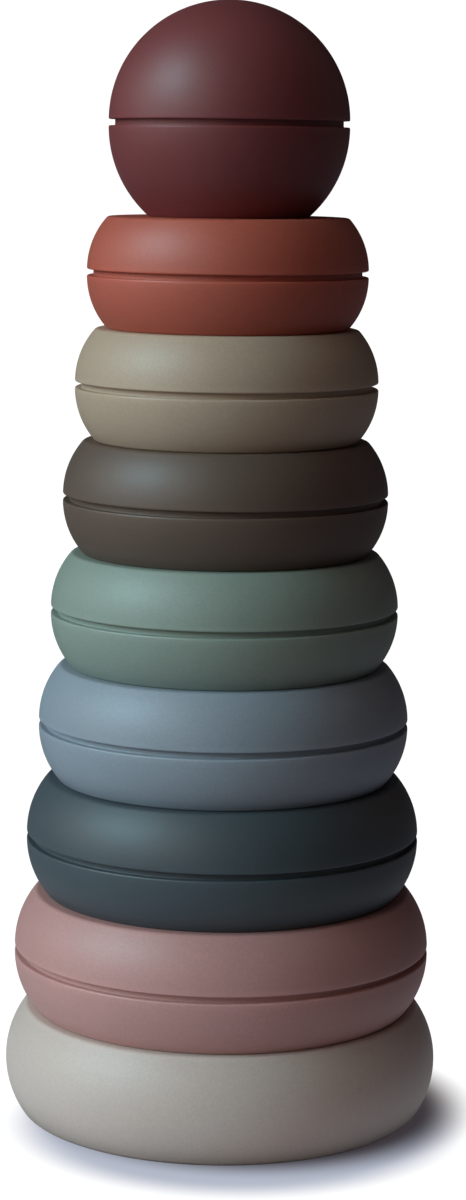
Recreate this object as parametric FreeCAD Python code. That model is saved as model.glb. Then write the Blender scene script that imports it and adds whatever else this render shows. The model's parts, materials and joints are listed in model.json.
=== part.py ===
"""Stacking ring toy: a round base with a post, seven hollow rings and a ball.

Each ring is two moulded shells that snap together, with an open groove between them round the widest
line. The ball is made the same way. The base is one moulded shell that holds a separate post, closed
from below by a snap-in plate. Units are millimetres. The origin is the centre of the base's underside,
and +Z runs up the post, which is the axis of every part.
"""

import FreeCAD
import Part

import math
import os

# --- Sizes of the whole toy ---
BASE_D = 90.0            # widest diameter of the base
BASE_H = 21.9            # height of the base
RING_NAMES = ("blush", "dark_green", "blue", "sage", "brown", "sand", "terracotta")  # from the base up
TOP_RING_D = 59.5        # widest diameter of the smallest ring, the terracotta one
RING_D_STEP = 4.55       # each ring is this much wider than the one above it
SHELL_H = 11.15          # height of one ring shell, from the groove to its flat face
GROOVE_H = 1.3           # open groove between the two shells of a ring
SIDE_R = 16.6            # radius of the bulging side in section
BALL_R = 25.5
BALL_CUT = 19.1          # the ball's flat foot is this far below the centre of its lower half
WALL = 1.9               # moulded wall
LIP_WALL = 1.3           # the wall of an upper shell where it fits over the lower one

# --- The way down the middle ---
BORE_R = 12.0            # hole through every ring
BORE_WALL = 2.0
POST_FOOT_R = 11.0       # the post tapers from here
POST_TOP_R = 9.7         # to here, where its dome starts
POST_WALL = 2.2
POST_RISE = 20.0         # the post's tip stands this far inside the ball
SOCKET_R = 10.4          # hole in the ball
SOCKET_DEPTH = 23.0

# --- The joint between two shells ---
FIT = 0.06               # radial clearance of the joints inside a ring, the ball and the base
TONGUE_WALL = 1.5        # wall of the lower shell's tongue, the floor of the groove
TONGUE_RISE = 3.2        # the tongue reaches this far into the upper shell
TONGUE_LEAD = 0.4        # chamfer that guides the tongue in
SEAT_H = 3.5             # straight part of the upper shell's inside that takes the tongue
BEAD = 0.22              # snap bead on the tongue, and the depth of the channel it clicks into
BEAD_H = 1.0
BEAD_Z = 1.2             # the bead starts this far above the upper shell's edge
SPIGOT_H = 2.0           # step in the wall of the bore that centres the two shells
BOSS_R = 7.0             # post inside the upper half of the ball that lands on the socket's end
BOSS_WALL = 2.0

# --- The base's inside ---
LIP_R = 38.8             # opening in the underside of the base
LIP_Z = 0.5              # the lip stands this far clear of the table, so the plate takes the load
LIP_TOP = 3.0
PLATE_T = 2.0
SKIRT_WALL = 1.5         # snap skirt round the plate's edge
SKIRT_TOP = 4.6
FLANGE_R = 17.0          # foot of the post
FLANGE_TOP = 12.0
FLANGE_T = 2.5
CLAMP_R = 16.0           # tube on the plate that holds the post's foot up
CLAMP_WALL = 3.0
RIB_COUNT = 8
RIB_T = 1.6
RIB_H = 3.4              # ribs on the plate, above its inner face
RIB_SINK = 0.5           # each rib is buried this far in the walls that it meets

# --- Rounded edges ---
FACE_ROUND = 1.1         # where a bulging side meets a flat face
BORE_ROUND = 1.5
GROOVE_ROUND = 0.35      # both lips of the groove
FOOT_ROUND = 2.0         # bottom edge of the base

# --- Sizes that follow ---
RING_H = 2 * SHELL_H + GROOVE_H
HALF_GROOVE = GROOVE_H / 2
BALL_FOOT_Z = BASE_H + len(RING_NAMES) * RING_H
BALL_MID_Z = BALL_FOOT_Z + BALL_CUT + HALF_GROOVE
POST_TIP_Z = BALL_FOOT_Z + POST_RISE

AXIS = FreeCAD.Vector(0, 0, 1)
ORIGIN = FreeCAD.Vector(0, 0, 0)
SAME = 1e-3              # lengths closer than this are the same


def across(radius, rise):
    """Horizontal reach of a circle of this radius at a height above or below its centre."""
    return math.sqrt(radius * radius - rise * rise)


def arc(centre, start, end):
    """The step of a section that runs from start to end on a circle round centre, the short way."""
    a0, a1 = (math.atan2(p[1] - centre[1], p[0] - centre[0]) for p in (start, end))
    radius = math.hypot(start[0] - centre[0], start[1] - centre[1])
    middle = (a0 + a1) / 2
    via = (centre[0] + radius * math.cos(middle), centre[1] + radius * math.sin(middle))
    return ("arc", start, via, end)


def turned(*steps):
    """A solid of revolution. Its section is a closed chain of (r, z) corners and arc() steps."""
    corners = []
    edges = []

    def vec(point):
        return FreeCAD.Vector(point[0], 0, point[1])

    def line_to(point):
        if corners and math.dist(corners[-1], point) > SAME:
            edges.append(Part.makeLine(vec(corners[-1]), vec(point)))
        corners.append(point)

    for step in steps:
        if step[0] == "arc":
            _, start, via, end = step
            line_to(start)
            edges.append(Part.Arc(vec(start), vec(via), vec(end)).toShape())
            corners.append(end)
        else:
            line_to(step)
    line_to(corners[0])
    face = Part.Face(Part.Wire(edges))
    return face.revolve(ORIGIN, AXIS, 360)


def rounded(solid, *marks):
    """The solid with the circular edge at each (r, z, round) mark rounded over."""
    for r, z, size in marks:
        edges = [
            e for e in solid.Edges
            if not e.Degenerated
            and isinstance(e.Curve, Part.Circle)
            and abs(e.Curve.Radius - r) < SAME
            and abs(e.Curve.Center.z - z) < SAME
        ]
        solid = solid.makeFillet(size, edges)
    return solid


def mirrored(steps):
    """The same section turned upside down about z = 0."""

    def flip(point):
        return (point[0], -point[1])

    return [("arc", *map(flip, s[1:])) if s[0] == "arc" else flip(s) for s in steps]


def lifted(solid, z):
    moved = solid.copy()
    moved.translate(FreeCAD.Vector(0, 0, z))
    return moved


def seat(radius, inner_end):
    """Section of the upper shell's straight seat, from the inside of its wall down to the groove's edge."""
    r = radius - LIP_WALL
    z = HALF_GROOVE
    bead_z = z + BEAD_Z
    return [
        inner_end,
        (r, z + SEAT_H),
        (r, bead_z + BEAD_H + BEAD),
        (r + BEAD, bead_z + BEAD_H),
        (r + BEAD, bead_z),
        (r, bead_z - BEAD),
        (r, z),
        (radius, z),
    ]


def tongue(radius, root):
    """Section of the lower shell's tongue, from its root inside the shell over to the groove's edge."""
    r = radius - LIP_WALL - FIT
    top = HALF_GROOVE + TONGUE_RISE
    bead_z = HALF_GROOVE + BEAD_Z
    bead_r = r + BEAD
    return [
        root,
        (root[0], top),
        (r - TONGUE_LEAD, top),
        (r, top - TONGUE_LEAD),
        (r, bead_z + BEAD_H),
        (bead_r, bead_z + BEAD_H - BEAD),
        (bead_r, bead_z + BEAD),
        (r, bead_z),
        (r, -HALF_GROOVE),
        (radius, -HALF_GROOVE),
    ]


def ring_skin(radius):
    """Section of a ring's outer face, from the upper lip of the groove over the flat to the bore."""
    centre = (radius - SIDE_R, HALF_GROOVE)
    face_z = HALF_GROOVE + SHELL_H
    face_r = centre[0] + across(SIDE_R, SHELL_H)
    return [
        arc(centre, (radius, HALF_GROOVE), (face_r, face_z)),
        (BORE_R, face_z),
    ], face_r, face_z


def ring_inside(radius, side_z):
    """Arc of the inside of a ring's wall, from under its flat to the height side_z."""
    centre = (radius - SIDE_R, HALF_GROOVE)
    size = SIDE_R - WALL
    under = SHELL_H - WALL
    start = (centre[0] + across(size, under), HALF_GROOVE + under)
    return arc(centre, start, (centre[0] + across(size, side_z - HALF_GROOVE), side_z))


def ring_upper(radius):
    """Upper shell of a ring, with the ring's middle at z = 0."""
    skin, face_r, face_z = ring_skin(radius)
    step_r = BORE_R + BORE_WALL / 2 - FIT / 2
    inside = ring_inside(radius, HALF_GROOVE + SEAT_H)
    bore = [
        (BORE_R, 0),
        (step_r, 0),
        (step_r, SPIGOT_H + FIT),
        (BORE_R + BORE_WALL, SPIGOT_H + FIT),
        (BORE_R + BORE_WALL, inside[1][1]),
    ]
    solid = turned(*skin, *bore, inside, *seat(radius, inside[3]))
    return rounded(
        solid,
        (face_r, face_z, FACE_ROUND),
        (BORE_R, face_z, BORE_ROUND),
        (radius, HALF_GROOVE, GROOVE_ROUND),
    )


def ring_lower(radius):
    """Lower shell of a ring, with the tongue that makes the floor of the groove."""
    skin, face_r, face_z = ring_skin(radius)
    step_r = BORE_R + BORE_WALL / 2 + FIT / 2
    root_r = radius - LIP_WALL - FIT - TONGUE_WALL
    root_z = HALF_GROOVE + across(SIDE_R - WALL, root_r - (radius - SIDE_R))
    inside = ring_inside(radius, root_z)
    below = mirrored([*skin, (BORE_R, 0)])
    bore = [
        (step_r, 0),
        (step_r, SPIGOT_H),
        (BORE_R + BORE_WALL, SPIGOT_H),
        (BORE_R + BORE_WALL, -inside[1][1]),
    ]
    solid = turned(*below, *bore, *mirrored([inside]), *tongue(radius, (root_r, -root_z)))
    return rounded(
        solid,
        (face_r, -face_z, FACE_ROUND),
        (BORE_R, -face_z, BORE_ROUND),
        (radius, -HALF_GROOVE, GROOVE_ROUND),
    )


def ball_upper():
    """Upper half of the ball, with the ball's groove at z = 0 and a boss down the middle."""
    centre = (0, HALF_GROOVE)
    inner = BALL_R - WALL
    land_z = SOCKET_DEPTH + WALL - BALL_CUT - HALF_GROOVE
    boss_in = BOSS_R - BOSS_WALL
    boss_top = (BOSS_R, HALF_GROOVE + across(inner, BOSS_R))
    boss_in_top = HALF_GROOVE + across(inner, boss_in)
    end = (across(inner, SEAT_H), HALF_GROOVE + SEAT_H)
    solid = turned(
        arc(centre, (BALL_R, HALF_GROOVE), (0, HALF_GROOVE + BALL_R)),
        arc(centre, (0, HALF_GROOVE + inner), (boss_in, boss_in_top)),
        (boss_in, land_z),
        (BOSS_R, land_z),
        arc(centre, boss_top, end),
        *seat(BALL_R, end),
    )
    return rounded(solid, (BALL_R, HALF_GROOVE, GROOVE_ROUND))


def ball_lower():
    """Lower half of the ball, with the socket that drops over the post."""
    inner = BALL_R - WALL
    foot_z = -HALF_GROOVE - BALL_CUT
    foot_r = across(BALL_R, BALL_CUT)
    socket_end = foot_z + SOCKET_DEPTH
    tube_r = SOCKET_R + WALL
    peg_r = BOSS_R - BOSS_WALL - FIT
    root_r = BALL_R - LIP_WALL - FIT - TONGUE_WALL
    root_z = -HALF_GROOVE - across(inner, root_r)
    centre = (0, -HALF_GROOVE)
    under = (across(inner, BALL_CUT - WALL), foot_z + WALL)
    solid = turned(
        arc(centre, (BALL_R, -HALF_GROOVE), (foot_r, foot_z)),
        (SOCKET_R, foot_z),
        (SOCKET_R, socket_end),
        (0, socket_end),
        (0, socket_end + WALL + SPIGOT_H),
        (peg_r, socket_end + WALL + SPIGOT_H),
        (peg_r, socket_end + WALL),
        (tube_r, socket_end + WALL),
        (tube_r, under[1]),
        arc(centre, under, (root_r, root_z)),
        *tongue(BALL_R, (root_r, root_z)),
    )
    return rounded(
        solid,
        (foot_r, foot_z, FACE_ROUND),
        (SOCKET_R, foot_z, BORE_ROUND),
        (SOCKET_R, socket_end, FACE_ROUND),
        (BALL_R, -HALF_GROOVE, GROOVE_ROUND),
    )


def base_shell():
    """One-piece skin of the base, with a collar for the post and a lip that the plate snaps behind."""
    radius = BASE_D / 2
    mid_z = BASE_H / 2
    centre = (radius - SIDE_R, mid_z)
    inner = SIDE_R - WALL
    face_r = centre[0] + across(SIDE_R, mid_z)
    lip_r = centre[0] + across(SIDE_R, mid_z - LIP_Z)
    under = (centre[0] + across(inner, mid_z - WALL), BASE_H - WALL)
    lip_in = (centre[0] + across(inner, mid_z - LIP_TOP), LIP_TOP)
    collar_r = POST_FOOT_R + FIT
    solid = turned(
        arc(centre, (lip_r, LIP_Z), (face_r, BASE_H)),
        (collar_r, BASE_H),
        (collar_r, FLANGE_TOP),
        (collar_r + BORE_WALL, FLANGE_TOP),
        (collar_r + BORE_WALL, under[1]),
        arc(centre, under, lip_in),
        (LIP_R, LIP_TOP),
        (LIP_R, LIP_Z),
    )
    return rounded(solid, (face_r, BASE_H, FACE_ROUND), (lip_r, LIP_Z, FOOT_ROUND))


def base_plate():
    """Plate that closes the base, with a snap skirt, stiffening ribs and the tube that clamps the post."""
    edge_r = LIP_R - FIT
    skirt_in = edge_r - SKIRT_WALL
    bead_z = LIP_TOP + FIT
    bead_r = edge_r + 2 * BEAD
    clamp_top = FLANGE_TOP - FLANGE_T
    disc = turned(
        (0, 0),
        (edge_r, 0),
        (edge_r, bead_z),
        (bead_r, bead_z + BEAD),
        (edge_r - BEAD, SKIRT_TOP),
        (skirt_in, SKIRT_TOP),
        (skirt_in, PLATE_T),
        (CLAMP_R, PLATE_T),
        (CLAMP_R, clamp_top),
        (CLAMP_R - CLAMP_WALL, clamp_top),
        (CLAMP_R - CLAMP_WALL, PLATE_T),
        (0, PLATE_T),
    )
    disc = rounded(disc, (edge_r, 0, GROOVE_ROUND))
    corner = FreeCAD.Vector(CLAMP_R - RIB_SINK, -RIB_T / 2, PLATE_T - RIB_SINK)
    length = skirt_in - CLAMP_R + 2 * RIB_SINK
    rib = Part.makeBox(length, RIB_T, RIB_H + RIB_SINK, corner)
    limit = turned((0, 0), (edge_r - BEAD, 0), (edge_r - BEAD, SKIRT_TOP), (0, SKIRT_TOP + PLATE_T))
    ribs = []
    for n in range(RIB_COUNT):
        copy = rib.common(limit)
        copy.rotate(ORIGIN, AXIS, 360 * n / RIB_COUNT)
        ribs.append(copy)
    return disc.fuse(ribs).removeSplitter()


def post():
    """Hollow tapered post with a domed tip and a flange that sits under the base's collar."""
    dome_z = POST_TIP_Z - POST_TOP_R
    top_in = POST_TOP_R - POST_WALL
    foot_in = POST_FOOT_R - POST_WALL
    flange_z = FLANGE_TOP - FLANGE_T
    return turned(
        (foot_in, flange_z),
        (FLANGE_R, flange_z),
        (FLANGE_R, FLANGE_TOP),
        (POST_FOOT_R, FLANGE_TOP),
        (POST_FOOT_R, BASE_H),
        arc((0, dome_z), (POST_TOP_R, dome_z), (0, POST_TIP_Z)),
        arc((0, dome_z), (0, dome_z + top_in), (top_in, dome_z)),
        (foot_in, BASE_H),
    )


def ring_radius(place):
    """Widest radius of the ring at this place, counted from 0 at the base."""
    from_top = len(RING_NAMES) - 1 - place
    return (TOP_RING_D + RING_D_STEP * from_top) / 2


def build():
    """Every part of the toy, by name."""
    parts = {"base_shell": base_shell(), "base_plate": base_plate(), "post": post()}
    for place, name in enumerate(RING_NAMES):
        radius = ring_radius(place)
        mid_z = BASE_H + RING_H * (place + 0.5)
        parts[name + "_ring_lower_shell"] = lifted(ring_lower(radius), mid_z)
        parts[name + "_ring_upper_shell"] = lifted(ring_upper(radius), mid_z)
    parts["ball_lower_shell"] = lifted(ball_lower(), BALL_MID_Z)
    parts["ball_upper_shell"] = lifted(ball_upper(), BALL_MID_Z)
    return parts


def main():
    os.makedirs("parts", exist_ok=True)
    for name, shape in build().items():
        if not shape.isValid() or len(shape.Solids) != 1:
            raise ValueError(name + " is not one valid solid")
        shape.exportStep(os.path.join("parts", name + ".step"))
        box = shape.BoundBox
        print(f"{name}: {shape.Volume / 1000:.1f} cm3, z {box.ZMin:.2f} to {box.ZMax:.2f}")


main()
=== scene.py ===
"""Looks of the stacking ring toy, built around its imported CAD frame.

Every shell is turned again as a fine mesh on the size and place of its CAD node, with rounded lips, and gets
a moulded-plastic material. The plate under the base stays as the CAD has it. Sections are (r, z) points in
millimetres, and Blender objects are in metres.
"""

import json
import math

import bpy
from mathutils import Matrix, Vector

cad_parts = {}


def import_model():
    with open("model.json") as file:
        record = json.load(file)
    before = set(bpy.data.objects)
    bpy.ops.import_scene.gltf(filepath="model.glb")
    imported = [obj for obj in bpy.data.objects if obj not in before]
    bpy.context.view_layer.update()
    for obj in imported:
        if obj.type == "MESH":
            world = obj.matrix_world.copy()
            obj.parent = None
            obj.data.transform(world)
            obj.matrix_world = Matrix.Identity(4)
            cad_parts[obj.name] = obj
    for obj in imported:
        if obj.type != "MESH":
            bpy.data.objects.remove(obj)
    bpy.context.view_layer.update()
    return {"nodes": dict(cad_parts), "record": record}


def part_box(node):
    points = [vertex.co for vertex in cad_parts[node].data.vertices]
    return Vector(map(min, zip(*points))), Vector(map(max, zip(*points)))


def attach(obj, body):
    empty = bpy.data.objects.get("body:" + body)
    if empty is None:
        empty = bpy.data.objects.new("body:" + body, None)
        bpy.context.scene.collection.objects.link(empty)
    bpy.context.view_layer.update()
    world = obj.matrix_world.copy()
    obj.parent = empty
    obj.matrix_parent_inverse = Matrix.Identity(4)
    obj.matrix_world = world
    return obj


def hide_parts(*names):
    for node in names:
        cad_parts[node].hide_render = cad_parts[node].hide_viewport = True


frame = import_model()

MM = 0.001

# --- Sections of the moulded pieces, in millimetres ---
GROOVE_H = 1.3           # open groove between two shells
SIDE_R = 16.6            # radius of the bulging side of the rings and the base
WALL = 1.9
LIP_WALL = 1.3           # wall of an upper shell beside the groove
FIT = 0.06               # clearance of the joints inside
BORE_R = 12.0
BORE_WALL = 2.0
TONGUE_WALL = 1.5        # the lower shell's tongue is the floor of the groove
TONGUE_RISE = 3.2
SEAT_H = 3.5             # straight inside of the upper shell that takes the tongue
SPIGOT_H = 2.0
BALL_CUT = 19.1          # the ball's foot is this far below the centre of its lower half
SOCKET_R = 10.4
SOCKET_DEPTH = 23.0
BOSS_R = 7.0
BOSS_WALL = 2.0
LIP_R = 38.8             # opening under the base
LIP_TOP = 3.0
COLLAR_R = 11.06         # the base's collar round the post
COLLAR_FOOT = 12.0
POST_FOOT_R = 11.0
POST_TOP_R = 9.7
POST_WALL = 2.2
FLANGE_R = 17.0
FLANGE_T = 2.5

# --- Rounded corners, in millimetres ---
FACE_ROUND = 1.1         # where a bulging side meets a flat face
BORE_ROUND = 1.5
LIP_ROUND = 0.35         # both lips of a groove
FOOT_ROUND = 2.0         # bottom edge of the base
TONGUE_ROUND = 0.4       # top of the tongue
MOULD_ROUND = 0.12       # corners inside, left by the mould

# --- Meshes ---
SEGMENTS = 192           # steps round the axis
ARC_STEP = 2.0           # degrees between points on an arc
LINE_STEP = 1.8          # longest step along a straight stretch, in millimetres
LONG_STEP = 6.0          # the same on the post
SUPPORT = 0.12           # a point this close to each rounded corner keeps its neighbours flat
SUPPORT_GAP = 1.5        # other points keep this many supports away from a cut end
SHORTEST = 2.5           # a stretch of fewer supports than this gets none
CORNER_STEPS = 5         # on the corners that show
MOULD_STEPS = 2          # on the corners inside
SHARP_ANGLE = math.radians(40)
SAME = 1e-6              # lengths under this are nothing, in millimetres

# --- Wear and painted edge highlight: corners made smoother and paler, from 0 for untouched to 1 for the most rubbed ---
FACE_WEAR_AND_HIGHLIGHT = 0.5          # where a bulging side meets a flat face
BORE_WEAR_AND_HIGHLIGHT = 0.6          # ends of the bores
LIP_WEAR_AND_HIGHLIGHT = 1.0           # lips of the grooves
FOOT_WEAR_AND_HIGHLIGHT = 1.0          # bottom edge of the base
WEAR_AND_HIGHLIGHT_REACH = 1.4         # wear and painted highlight fade out this far from a corner, in millimetres


def across(radius, rise):
    """Horizontal reach of a circle of this radius at a height above or below its centre."""
    return math.sqrt(radius * radius - rise * rise)


def between(a, b, t):
    """The point a share t of the way from a to b."""
    return (a[0] + (b[0] - a[0]) * t, a[1] + (b[1] - a[1]) * t)


class Section:
    """A closed outline in (r, z), drawn stretch by stretch, that is turned about the toy's axis."""

    def __init__(self, start, step=LINE_STEP):
        self.end = start
        self.step = step
        self.runs = []
        self.rounds = []
        self.worn_and_lit = []

    def add(self, run, size, worn_and_lit):
        self.runs.append(run)
        self.rounds.append(size)
        self.worn_and_lit.append(worn_and_lit)
        self.end = run[-1]

    def to(self, r, z, size=MOULD_ROUND, worn_and_lit=0.0):
        """A straight stretch to (r, z). The corner there has radius size, and the last argument says how
        rubbed it is and how much painted edge highlight it gets.
        """
        start = self.end
        count = max(1, math.ceil(math.dist(start, (r, z)) / self.step))
        self.add([between(start, (r, z), n / count) for n in range(count + 1)], size, worn_and_lit)

    def curve(self, centre, r, z, size=MOULD_ROUND, worn_and_lit=0.0):
        """The same along the circle round centre, the short way."""
        start = self.end
        a0 = math.atan2(start[1] - centre[1], start[0] - centre[0])
        a1 = math.atan2(z - centre[1], r - centre[0])
        radius = math.dist(centre, start)
        count = max(2, math.ceil(math.degrees(abs(a1 - a0)) / ARC_STEP))
        angles = [a0 + (a1 - a0) * n / count for n in range(count + 1)]
        run = [(centre[0] + radius * math.cos(a), centre[1] + radius * math.sin(a)) for a in angles]
        self.add([start, *run[1:-1], (r, z)], size, worn_and_lit)

    def points(self):
        """The outline's points, and how much wear and painted edge highlight the surface has at each."""
        nexts = self.runs[1:] + self.runs[:1]
        sizes = [tangent_length(a, b, size) for a, b, size in zip(self.runs, nexts, self.rounds)]
        cuts = [trimmed(run, sizes[n - 1], sizes[n]) for n, run in enumerate(self.runs)]
        points, corners = [], []
        for n, cut in enumerate(cuts):
            corner = self.runs[n][-1]
            following = cuts[(n + 1) % len(cuts)]
            if sizes[n] > SAME:
                steps = CORNER_STEPS if self.rounds[n] > MOULD_ROUND else MOULD_STEPS
                points += cut + rounded(cut[-1], corner, following[0], steps)
            else:
                points += cut[:-1]
            if self.worn_and_lit[n]:
                corners.append((corner, self.worn_and_lit[n]))
        points = without_axis_points(points)
        return points, [wear_and_highlight_at(p, corners) for p in points]


def tangent_length(run, following, radius):
    """How far from a corner an arc of this radius touches the two stretches that meet there."""
    before = math.atan2(run[-1][1] - run[-2][1], run[-1][0] - run[-2][0])
    after = math.atan2(following[1][1] - following[0][1], following[1][0] - following[0][0])
    turn = abs(math.remainder(after - before, 2 * math.pi))
    return radius * math.tan(turn / 2)


def without_axis_points(points):
    """The outline without the points that lie between two others on the axis."""
    kept = []
    for n, point in enumerate(points):
        around = (points[n - 1], point, points[(n + 1) % len(points)])
        if any(p[0] > SAME for p in around):
            kept.append(point)
    return kept


def trimmed(run, head, tail):
    """What is left of a run when its ends are cut off, with a support point next to each cut."""
    lengths = [0.0]
    for a, b in zip(run, run[1:]):
        lengths.append(lengths[-1] + math.dist(a, b))
    first = head
    last = lengths[-1] - tail
    if last - first < SHORTEST * SUPPORT:
        return [along(run, lengths, first), along(run, lengths, last)]
    gap = SUPPORT_GAP * SUPPORT
    marks = [s for s in lengths if first + gap < s < last - gap]
    marks = [first, first + SUPPORT, *marks, last - SUPPORT, last]
    return [along(run, lengths, s) for s in marks]


def along(run, lengths, distance):
    """The point of a run at this distance from its start."""
    for n in range(len(run) - 2):
        if distance <= lengths[n + 1]:
            return between(run[n], run[n + 1], (distance - lengths[n]) / (lengths[n + 1] - lengths[n]))
    return between(run[-2], run[-1], (distance - lengths[-2]) / (lengths[-1] - lengths[-2]))


def rounded(start, corner, end, steps):
    """Points of a rounded corner between the two cut ends, which are not repeated."""
    shares = [n / steps for n in range(1, steps)]
    return [between(between(start, corner, t), between(corner, end, t), t) for t in shares]


def wear_and_highlight_at(point, corners):
    """Wear and painted edge highlight at a point of a section, from the rubbed corners near it."""
    found = 0.0
    for corner, worn_and_lit in corners:
        near = max(0.0, 1 - math.dist(point, corner) / WEAR_AND_HIGHLIGHT_REACH)
        found = max(found, worn_and_lit * near)
    return found


def turned(name, section):
    """A closed mesh made by turning a section about the axis, with a value for wear and painted edge
    highlight at each point.
    """
    points, wear_and_highlight = section.points()
    verts, values, rows = [], [], []
    for (r, z), worn_and_lit in zip(points, wear_and_highlight):
        count = SEGMENTS if r > SAME else 1
        rows.append([len(verts) + n for n in range(count)])
        for n in range(count):
            angle = 2 * math.pi * n / SEGMENTS
            verts.append((r * MM * math.cos(angle), r * MM * math.sin(angle), z * MM))
            values.append(worn_and_lit)
    faces = []
    for n, row in enumerate(rows):
        faces += band(row, rows[(n + 1) % len(rows)])
    mesh = bpy.data.meshes.new(name)
    mesh.from_pydata(verts, [], faces)
    # per-point amount of wear and painted edge highlight, which the plastic reads
    mesh.attributes.new("wear_and_highlight", "FLOAT", "POINT").data.foreach_set("value", values)
    mesh.shade_smooth()
    mesh.set_sharp_from_angle(angle=SHARP_ANGLE)
    piece = bpy.data.objects.new(name, mesh)
    bpy.context.scene.collection.objects.link(piece)
    return piece


def band(row, following):
    """Faces between two rows of points round the axis. A row on the axis is one point."""
    faces = []
    for n in range(SEGMENTS):
        after = (n + 1) % SEGMENTS
        near = (row[n % len(row)], row[after % len(row)])
        far = (following[after % len(following)], following[n % len(following)])
        corners = []
        for index in near + far:
            if index not in corners:
                corners.append(index)
        if len(corners) > 2:
            faces.append(corners)
    return faces


# --- The pieces ---

def node_size(node):
    """Widest radius, lowest and highest z of a CAD node, in millimetres."""
    low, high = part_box(node)
    return high.x / MM, low.z / MM, high.z / MM


def ring_sizes(ring):
    """Widest radius, foot, middle and top of a ring, from its two CAD shells."""
    radius, foot, _ = node_size(ring + "_lower_shell")
    _, _, top = node_size(ring + "_upper_shell")
    return radius, foot, (foot + top) / 2, top


def ring_top(ring):
    """Upper shell of a ring."""
    radius, _, middle, top = ring_sizes(ring)
    lip = middle + GROOVE_H / 2
    centre = (radius - SIDE_R, lip)
    inner = SIDE_R - WALL
    under = top - WALL
    step_r = BORE_R + (BORE_WALL - FIT) / 2
    bore_out = BORE_R + BORE_WALL
    section = Section((radius, lip))
    section.curve(centre, centre[0] + across(SIDE_R, top - lip), top, FACE_ROUND, FACE_WEAR_AND_HIGHLIGHT)
    section.to(BORE_R, top, BORE_ROUND, BORE_WEAR_AND_HIGHLIGHT)
    section.to(BORE_R, middle)
    section.to(step_r, middle)
    section.to(step_r, middle + SPIGOT_H + FIT)
    section.to(bore_out, middle + SPIGOT_H + FIT)
    section.to(bore_out, under)
    section.to(centre[0] + across(inner, under - lip), under)
    section.curve(centre, centre[0] + across(inner, SEAT_H), lip + SEAT_H)
    section.to(radius - LIP_WALL, lip + SEAT_H)
    section.to(radius - LIP_WALL, lip)
    section.to(radius, lip, LIP_ROUND, LIP_WEAR_AND_HIGHLIGHT)
    return turned(ring + "_top", section)


def ring_bottom(ring):
    """Lower shell of a ring, with the tongue that is the floor of the groove."""
    radius, foot, middle, _ = ring_sizes(ring)
    lip = middle - GROOVE_H / 2
    centre = (radius - SIDE_R, lip)
    inner = SIDE_R - WALL
    over = foot + WALL
    step_r = BORE_R + (BORE_WALL + FIT) / 2
    bore_out = BORE_R + BORE_WALL
    section = Section((centre[0] + across(SIDE_R, lip - foot), foot))
    section.curve(centre, radius, lip, LIP_ROUND, LIP_WEAR_AND_HIGHLIGHT)
    add_tongue(section, radius, middle)
    section.to(section.end[0], lip - across(inner, section.end[0] - centre[0]))
    section.curve(centre, centre[0] + across(inner, lip - over), over)
    section.to(bore_out, over)
    section.to(bore_out, middle + SPIGOT_H)
    section.to(step_r, middle + SPIGOT_H)
    section.to(step_r, middle)
    section.to(BORE_R, middle)
    section.to(BORE_R, foot, BORE_ROUND, BORE_WEAR_AND_HIGHLIGHT)
    section.to(*section.runs[0][0], FACE_ROUND, FACE_WEAR_AND_HIGHLIGHT)
    return turned(ring + "_bottom", section)


def add_tongue(section, radius, middle):
    """Draws the tongue from the groove's lower lip up and over to its inner face."""
    tongue_r = radius - LIP_WALL - FIT
    tongue_top = middle + GROOVE_H / 2 + TONGUE_RISE
    section.to(tongue_r, middle - GROOVE_H / 2)
    section.to(tongue_r, tongue_top, TONGUE_ROUND)
    section.to(tongue_r - TONGUE_WALL, tongue_top)


def ball_sizes():
    """Radius, foot and middle of the ball, from its two CAD halves."""
    radius, foot, _ = node_size("ball_lower_shell")
    return radius, foot, foot + BALL_CUT + GROOVE_H / 2


def ball_top():
    """Upper half of the ball, with a boss inside that lands on the closed end of the socket."""
    radius, foot, middle = ball_sizes()
    lip = middle + GROOVE_H / 2
    centre = (0, lip)
    inner = radius - WALL
    land = foot + SOCKET_DEPTH + WALL
    boss_in = BOSS_R - BOSS_WALL
    section = Section((radius, lip))
    section.curve(centre, 0, lip + radius, 0)
    section.to(0, lip + inner, 0)
    section.curve(centre, boss_in, lip + across(inner, boss_in))
    section.to(boss_in, land)
    section.to(BOSS_R, land)
    section.to(BOSS_R, lip + across(inner, BOSS_R))
    section.curve(centre, across(inner, SEAT_H), lip + SEAT_H)
    section.to(radius - LIP_WALL, lip + SEAT_H)
    section.to(radius - LIP_WALL, lip)
    section.to(radius, lip, LIP_ROUND, LIP_WEAR_AND_HIGHLIGHT)
    return turned("ball_top", section)


def ball_bottom():
    """Lower half of the ball, with the socket that drops over the post."""
    radius, foot, middle = ball_sizes()
    lip = middle - GROOVE_H / 2
    centre = (0, lip)
    inner = radius - WALL
    over = foot + WALL
    end = foot + SOCKET_DEPTH
    tube_r = SOCKET_R + WALL
    peg_r = BOSS_R - BOSS_WALL - FIT
    section = Section((across(radius, BALL_CUT), foot))
    section.curve(centre, radius, lip, LIP_ROUND, LIP_WEAR_AND_HIGHLIGHT)
    add_tongue(section, radius, middle)
    section.to(section.end[0], lip - across(inner, section.end[0]))
    section.curve(centre, across(inner, lip - over), over)
    section.to(tube_r, over)
    section.to(tube_r, end + WALL)
    section.to(peg_r, end + WALL)
    section.to(peg_r, end + WALL + SPIGOT_H)
    section.to(0, end + WALL + SPIGOT_H, 0)
    section.to(0, end, 0)
    section.to(SOCKET_R, end, FACE_ROUND)
    section.to(SOCKET_R, foot, BORE_ROUND, BORE_WEAR_AND_HIGHLIGHT)
    section.to(*section.runs[0][0], FACE_ROUND, FACE_WEAR_AND_HIGHLIGHT)
    return turned("ball_bottom", section)


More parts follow.
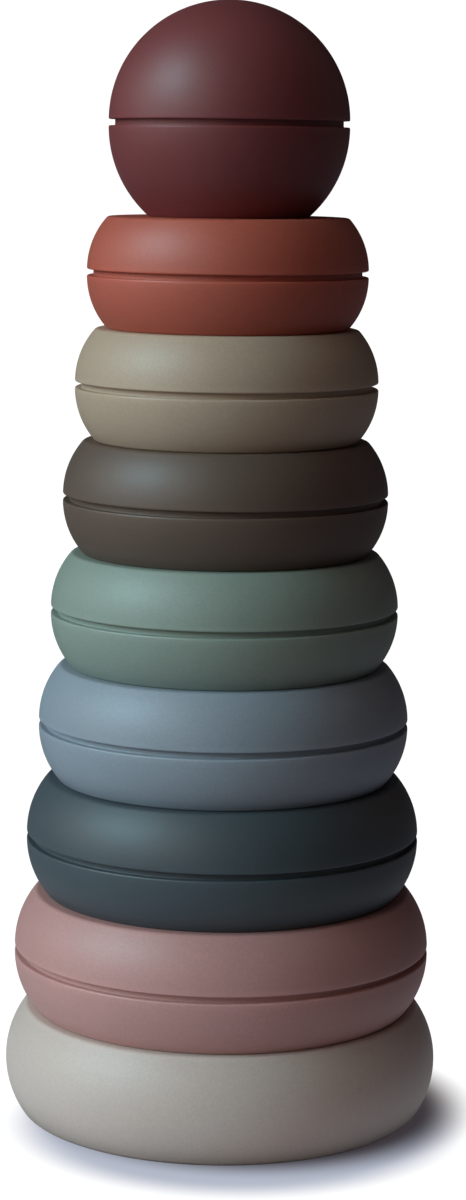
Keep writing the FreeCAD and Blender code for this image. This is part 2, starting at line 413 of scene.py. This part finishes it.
def base_body():
    """One-piece skin of the base, with a collar round the post."""
    radius, foot, top = node_size("base_shell")
    _, plate_foot, _ = node_size("base_plate")
    middle = (plate_foot + top) / 2
    centre = (radius - SIDE_R, middle)
    inner = SIDE_R - WALL
    under = top - WALL
    collar_out = COLLAR_R + BORE_WALL
    section = Section((centre[0] + across(SIDE_R, middle - foot), foot))
    section.curve(centre, centre[0] + across(SIDE_R, top - middle), top, FACE_ROUND, FACE_WEAR_AND_HIGHLIGHT)
    section.to(COLLAR_R, top)
    section.to(COLLAR_R, COLLAR_FOOT)
    section.to(collar_out, COLLAR_FOOT)
    section.to(collar_out, under)
    section.to(centre[0] + across(inner, under - middle), under)
    section.curve(centre, centre[0] + across(inner, middle - LIP_TOP), LIP_TOP)
    section.to(LIP_R, LIP_TOP)
    section.to(LIP_R, foot)
    section.to(*section.runs[0][0], FOOT_ROUND, FOOT_WEAR_AND_HIGHLIGHT)
    return turned("base_body", section)


def post_shaft():
    """Hollow tapered post with a domed tip, and the flange that the base traps."""
    _, _, tip = node_size("post")
    _, _, base_top = node_size("base_shell")
    dome = tip - POST_TOP_R
    flange_foot = COLLAR_FOOT - FLANGE_T
    section = Section((POST_FOOT_R - POST_WALL, flange_foot), LONG_STEP)
    section.to(FLANGE_R, flange_foot)
    section.to(FLANGE_R, COLLAR_FOOT)
    section.to(POST_FOOT_R, COLLAR_FOOT)
    section.to(POST_FOOT_R, base_top, 0)
    section.to(POST_TOP_R, dome, 0)
    section.curve((0, dome), 0, tip, 0)
    section.to(0, tip - POST_WALL, 0)
    section.curve((0, dome), POST_TOP_R - POST_WALL, dome, 0)
    section.to(POST_FOOT_R - POST_WALL, base_top, 0)
    section.to(POST_FOOT_R - POST_WALL, flange_foot)
    return turned("post_shaft", section)


# --- Materials ---

# Colours of the moulded plastic, as linear red, green and blue
COLOURS = {
    "cream": (0.562, 0.474, 0.43),
    "blush": (0.485, 0.261, 0.247),
    "dark_green": (0.0555, 0.0768, 0.0902),
    "blue": (0.252, 0.306, 0.361),
    "sage": (0.236, 0.301, 0.263),
    "brown": (0.113, 0.079, 0.062),
    "sand": (0.433, 0.334, 0.247),
    "terracotta": (0.446, 0.101, 0.066),
    "burgundy": (0.18, 0.040, 0.043),
}
ROUGHNESS = 0.50
ROUGHNESS_SPREAD = 0.08
WORN_ROUGHNESS = 0.36
WORN_AND_HIGHLIGHT_PALE = 0.22         # how much paler a fully rubbed lip is, as wear and painted edge highlight
WORN_AND_HIGHLIGHT_LEAST = 0.2         # wear and painted highlight are patchy, and this is what is left of them where they are least
IOR = 1.49               # of the plastic

# Noise: cells per metre, octaves, and how much it lightens and darkens the colour
CLOUD_SCALE = 55         # slow change of colour across a shell
CLOUD_DETAIL = 3.0
CLOUD_DEPTH = 0.06
FLECK_SCALE = 900        # faint mottling of the pigment
FLECK_DETAIL = 2.0
FLECK_DEPTH = 0.03
GRAIN_SCALE = 2000       # even moulded grain, in cells of about 0.5 mm
GRAIN_DETAIL = 3.0
GRAIN_CRISPNESS = 0.6    # share of the fine octaves
GRAIN_DEPTH = 0.14
GRAIN_HEIGHT = 0.00003   # of its bumps, in metres


class Nodes:
    """Short ways to add and join shader nodes in one material."""

    def __init__(self, material):
        material.use_nodes = True
        self.tree = material.node_tree
        self.tree.nodes.clear()

    def add(self, kind, inputs=None, **settings):
        """A node of this kind, with settings as attributes and inputs as values or sockets."""
        node = self.tree.nodes.new(kind)
        for key, value in settings.items():
            setattr(node, key, value)
        for key, value in (inputs or {}).items():
            if isinstance(value, bpy.types.NodeSocket):
                self.tree.links.new(value, node.inputs[key])
            else:
                node.inputs[key].default_value = value
        return node

    def math(self, operation, a, b):
        """Two values or sockets put together by a sum or a product."""
        return self.add("ShaderNodeMath", {0: a, 1: b}, operation=operation).outputs[0]

    def span(self, value, low, high):
        """value from 0 to 1 turned into low to high."""
        inputs = {"Value": value, "To Min": low, "To Max": high}
        return self.add("ShaderNodeMapRange", inputs).outputs["Result"]

    def mix(self, share, first, second):
        """A colour that goes from first to second as share goes from 0 to 1."""
        ends = [end if isinstance(end, bpy.types.NodeSocket) else (*end, 1) for end in (first, second)]
        inputs = {"Factor": share, "A": ends[0], "B": ends[1]}
        return self.add("ShaderNodeMix", inputs, data_type="RGBA").outputs["Result"]

    def near(self, centre, full, end):
        """1 within a radius of centre, falling smoothly to 0 at the radius end."""
        place = self.add("ShaderNodeNewGeometry").outputs["Position"]
        away = self.add("ShaderNodeVectorMath", {0: place, 1: centre}, operation="DISTANCE").outputs["Value"]
        inputs = {"Value": away, "From Min": end, "From Max": full}
        fall = self.add("ShaderNodeMapRange", inputs, interpolation_type="SMOOTHSTEP")
        return fall.outputs["Result"]

    def noise(self, place, scale, detail, rough=0.5):
        """Cloudy noise from 0 to 1. rough is the share of its fine octaves."""
        inputs = {"Vector": place, "Scale": scale, "Detail": detail, "Roughness": rough}
        return self.add("ShaderNodeTexNoise", inputs).outputs["Fac"]


def plastic(slot):
    """Matt moulded plastic: clouded pigment, a fine grain, and lips rubbed smoother by handling and made
    paler, as wear and a painted edge highlight.
    """
    material = bpy.data.materials.new("plastic_" + slot)
    nodes = Nodes(material)
    place = nodes.add("ShaderNodeTexCoord").outputs["Object"]
    cloud = nodes.noise(place, CLOUD_SCALE, CLOUD_DETAIL)
    fleck = nodes.noise(place, FLECK_SCALE, FLECK_DETAIL)
    grain = nodes.noise(place, GRAIN_SCALE, GRAIN_DETAIL, GRAIN_CRISPNESS)
    wear_and_highlight = nodes.add("ShaderNodeAttribute", attribute_name="wear_and_highlight").outputs["Fac"]
    rubbed_and_lit = nodes.math("MULTIPLY", wear_and_highlight, nodes.span(cloud, WORN_AND_HIGHLIGHT_LEAST, 1.0))
    value = nodes.span(cloud, 1 - CLOUD_DEPTH, 1 + CLOUD_DEPTH)
    value = nodes.math("ADD", value, nodes.span(fleck, -FLECK_DEPTH, FLECK_DEPTH))
    value = nodes.math("ADD", value, nodes.span(grain, -GRAIN_DEPTH, GRAIN_DEPTH))
    # Painted edge highlight, with wear: the rubbed corners are made paler
    value = nodes.math("ADD", value, nodes.math("MULTIPLY", rubbed_and_lit, WORN_AND_HIGHLIGHT_PALE))
    inputs = {"Color": (*COLOURS[slot], 1), "Value": value}
    colour = nodes.add("ShaderNodeHueSaturation", inputs).outputs["Color"]
    rough = nodes.span(cloud, ROUGHNESS - ROUGHNESS_SPREAD / 2, ROUGHNESS + ROUGHNESS_SPREAD / 2)
    rough = nodes.math("ADD", rough, nodes.math("MULTIPLY", rubbed_and_lit, WORN_ROUGHNESS - ROUGHNESS))
    bump = nodes.add("ShaderNodeBump", {"Height": grain, "Distance": GRAIN_HEIGHT, "Strength": 1.0})
    normal = bump.outputs["Normal"]
    inputs = {"Base Color": colour, "Roughness": rough, "Normal": normal, "IOR": IOR}
    shader = nodes.add("ShaderNodeBsdfPrincipled", inputs)
    nodes.add("ShaderNodeOutputMaterial", {"Surface": shader.outputs["BSDF"]})
    return material


MATERIALS = {slot: plastic(slot) for slot in COLOURS}


def dress(piece, slot, body, *nodes):
    """Gives a new piece its plastic and its body, and hides the CAD nodes that it stands for."""
    piece.data.materials.append(MATERIALS[slot])
    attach(piece, body)
    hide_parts(*nodes)


def build():
    """Every piece of the toy, on its body."""
    slots = {entry["node"]: entry["material_slot"] for entry in frame["record"]["subparts"]}
    for body, members in frame["record"]["behaviour"]["bodies"].items():
        if body.endswith("_ring"):
            dress(ring_bottom(body), slots[members[0]], body, body + "_lower_shell")
            dress(ring_top(body), slots[members[1]], body, body + "_upper_shell")
    dress(ball_bottom(), slots["ball_lower_shell"], "ball", "ball_lower_shell")
    dress(ball_top(), slots["ball_upper_shell"], "ball", "ball_upper_shell")
    dress(base_body(), slots["base_shell"], "base", "base_shell")
    dress(post_shaft(), slots["post"], "base", "post")
    plate = frame["nodes"]["base_plate"]
    plate.data.materials.clear()
    plate.data.materials.append(MATERIALS[slots["base_plate"]])


# --- Studio ---

FLOOR_SIZE = 8.0
PAPER = (1.08, 1.08, 1.08)          # colour of the floor in the open, a little past white
# Painted soft round shadows on the floor: centre, radius of the full shadow, radius where it ends, and its
# tint
PAINTED_SHADOWS = (
    ((0.0036, -0.011, 0), 0.0373, 0.0505, (0.42, 0.45, 0.54)),
    ((0.0069, 0.0013, 0), 0.0360, 0.0497, (0.10, 0.08, 0.08)),
)
GLOW_CENTRE = (-0.03, 0, 0)         # the floor throws up the most light round this point
GLOW_NEAR = (0.33, 0.34, 0.37)      # this much of it there
GLOW_FAR = (0.09, 0.085, 0.095)     # and this much in the distance
GLOW_START = 0.04        # distance from that point where the light begins to fade
GLOW_END = 0.24          # and where it is down to the far one
FOOT_DARK = 0.041        # the floor throws up nothing within this radius, under the toy
FOOT_LIGHT = 0.050       # and all it has from this one on
SKY = (0.02, 0.018, 0.018)          # dim light from all round
BACKDROP = (1.05, 1.05, 1.05)       # what the camera sees behind the floor

# Far lights: name, direction from the toy, strength, colour, spread in degrees, and whether each lights the
# matt part of a surface and its gloss. The cool light is two, because its highlights come from higher up.
LIGHTS = (
    ("wide", (-0.814, -0.470, 0.342), 2.02, (1.0, 0.866, 0.762), 80, True, True),
    ("key", (-0.834, -0.354, 0.423), 1.60, (0.411, 0.834, 1.0), 30, True, False),
    ("sheen", (-0.763, -0.324, 0.559), 1.63, (0.411, 0.834, 1.0), 24, False, True),
    ("rim", (-0.97, 0.12, 0.21), 0.22, (1.0, 0.97, 0.95), 50, True, True),
    ("fill", (0.80, 0.35, 0.48), 0.07, (1.0, 0.65, 0.60), 60, True, True),
)

EYE_HEIGHT = 0.2014      # of the camera, above the floor
EYE_SIDE = 0.0008        # to the right of the toy's axis
EYE_DISTANCE = 0.6372    # in front of the toy's axis
EYE_ROLL = math.radians(-0.6)
SENSOR = 36              # long side, in millimetres
FOCAL = 90.55            # millimetres
LENS_DROP = -0.3757      # the level lens looks at the toy below it by this share of the long side
SAME_PLACE = 0.0001      # the camera has not been moved if it is within this distance of its place


def floor():
    """White floor with painted shadows round the toy's foot, for show only."""
    half = FLOOR_SIZE / 2
    corners = [(-half, -half, 0), (half, -half, 0), (half, half, 0), (-half, half, 0)]
    mesh = bpy.data.meshes.new("floor")
    mesh.from_pydata(corners, [], [(0, 1, 2, 3)])
    plane = bpy.data.objects.new("floor", mesh)
    bpy.context.scene.collection.objects.link(plane)
    mesh.materials.append(floor_paper())


def floor_paper():
    """The camera sees white with painted soft shadows round the toy's foot. The toy gets a dim glow from
    below.
    """
    material = bpy.data.materials.new("floor_paper")
    nodes = Nodes(material)
    colour = nodes.add("ShaderNodeRGB").outputs["Color"]
    colour.default_value = (*PAPER, 1)
    # Painted shadows: the camera's white is darkened towards each tint near the toy's foot
    for centre, full, end, shadow_tint in PAINTED_SHADOWS:
        near = nodes.near(centre, full, end)
        tint = nodes.mix(near, (1, 1, 1), shadow_tint)
        shadowed = nodes.add("ShaderNodeVectorMath", {0: colour, 1: tint}, operation="MULTIPLY")
        colour = shadowed.outputs["Vector"]
    paper = nodes.add("ShaderNodeEmission", {"Color": colour})
    glow = nodes.mix(nodes.near(GLOW_CENTRE, GLOW_START, GLOW_END), GLOW_FAR, GLOW_NEAR)
    glow = nodes.mix(nodes.near((0, 0, 0), FOOT_DARK, FOOT_LIGHT), glow, (0, 0, 0))
    glow = nodes.add("ShaderNodeEmission", {"Color": glow})
    seen = nodes.add("ShaderNodeLightPath").outputs["Is Camera Ray"]
    both = nodes.add("ShaderNodeMixShader", {0: seen, 1: glow.outputs[0], 2: paper.outputs[0]})
    nodes.add("ShaderNodeOutputMaterial", {"Surface": both.outputs["Shader"]})
    return material


def sun(name, direction, strength, colour, spread, matt, gloss):
    """One soft light from far away, as a row of LIGHTS has it."""
    light = bpy.data.lights.new(name, "SUN")
    light.energy = strength
    light.color = colour
    light.angle = math.radians(spread)
    lamp = bpy.data.objects.new(name, light)
    lamp.rotation_mode = "QUATERNION"
    lamp.rotation_quaternion = Vector(direction).to_track_quat("Z", "Y")
    lamp.visible_diffuse = matt
    lamp.visible_glossy = gloss
    bpy.context.scene.collection.objects.link(lamp)


def world():
    """White behind the toy, and a dim sky that lights it."""
    sky = bpy.data.worlds.new("studio")
    bpy.context.scene.world = sky
    nodes = Nodes(sky)
    seen = nodes.add("ShaderNodeLightPath").outputs["Is Camera Ray"]
    colour = nodes.mix(seen, SKY, BACKDROP)
    back = nodes.add("ShaderNodeBackground", {"Color": colour})
    nodes.add("ShaderNodeOutputWorld", {"Surface": back.outputs["Background"]})


def camera():
    """Level camera at eye height, with its lens dropped to look at the toy."""
    data = bpy.data.cameras.new("camera")
    data.lens = FOCAL
    data.sensor_width = SENSOR
    data.shift_y = LENS_DROP
    eye = bpy.data.objects.new("camera", data)
    eye.location = (EYE_SIDE, -EYE_DISTANCE, EYE_HEIGHT)
    eye.rotation_euler = (math.radians(90), EYE_ROLL, 0)
    bpy.context.scene.collection.objects.link(eye)
    bpy.context.scene.camera = eye
    drop_only_from_here(eye)


def drop_only_from_here(eye):
    """Centres the lens again when the camera is moved to another place."""
    driver = eye.data.driver_add("shift_y").driver
    driver.type = "SCRIPTED"
    place = driver.variables.new()
    place.name = "y"
    place.type = "TRANSFORMS"
    place.targets[0].id = eye
    place.targets[0].transform_type = "LOC_Y"
    driver.expression = f"{LENS_DROP} if abs(y + {EYE_DISTANCE}) < {SAME_PLACE} else 0"


build()
floor()
world()
for light in LIGHTS:
    sun(*light)
camera()
bpy.context.scene.view_settings.view_transform = "Standard"
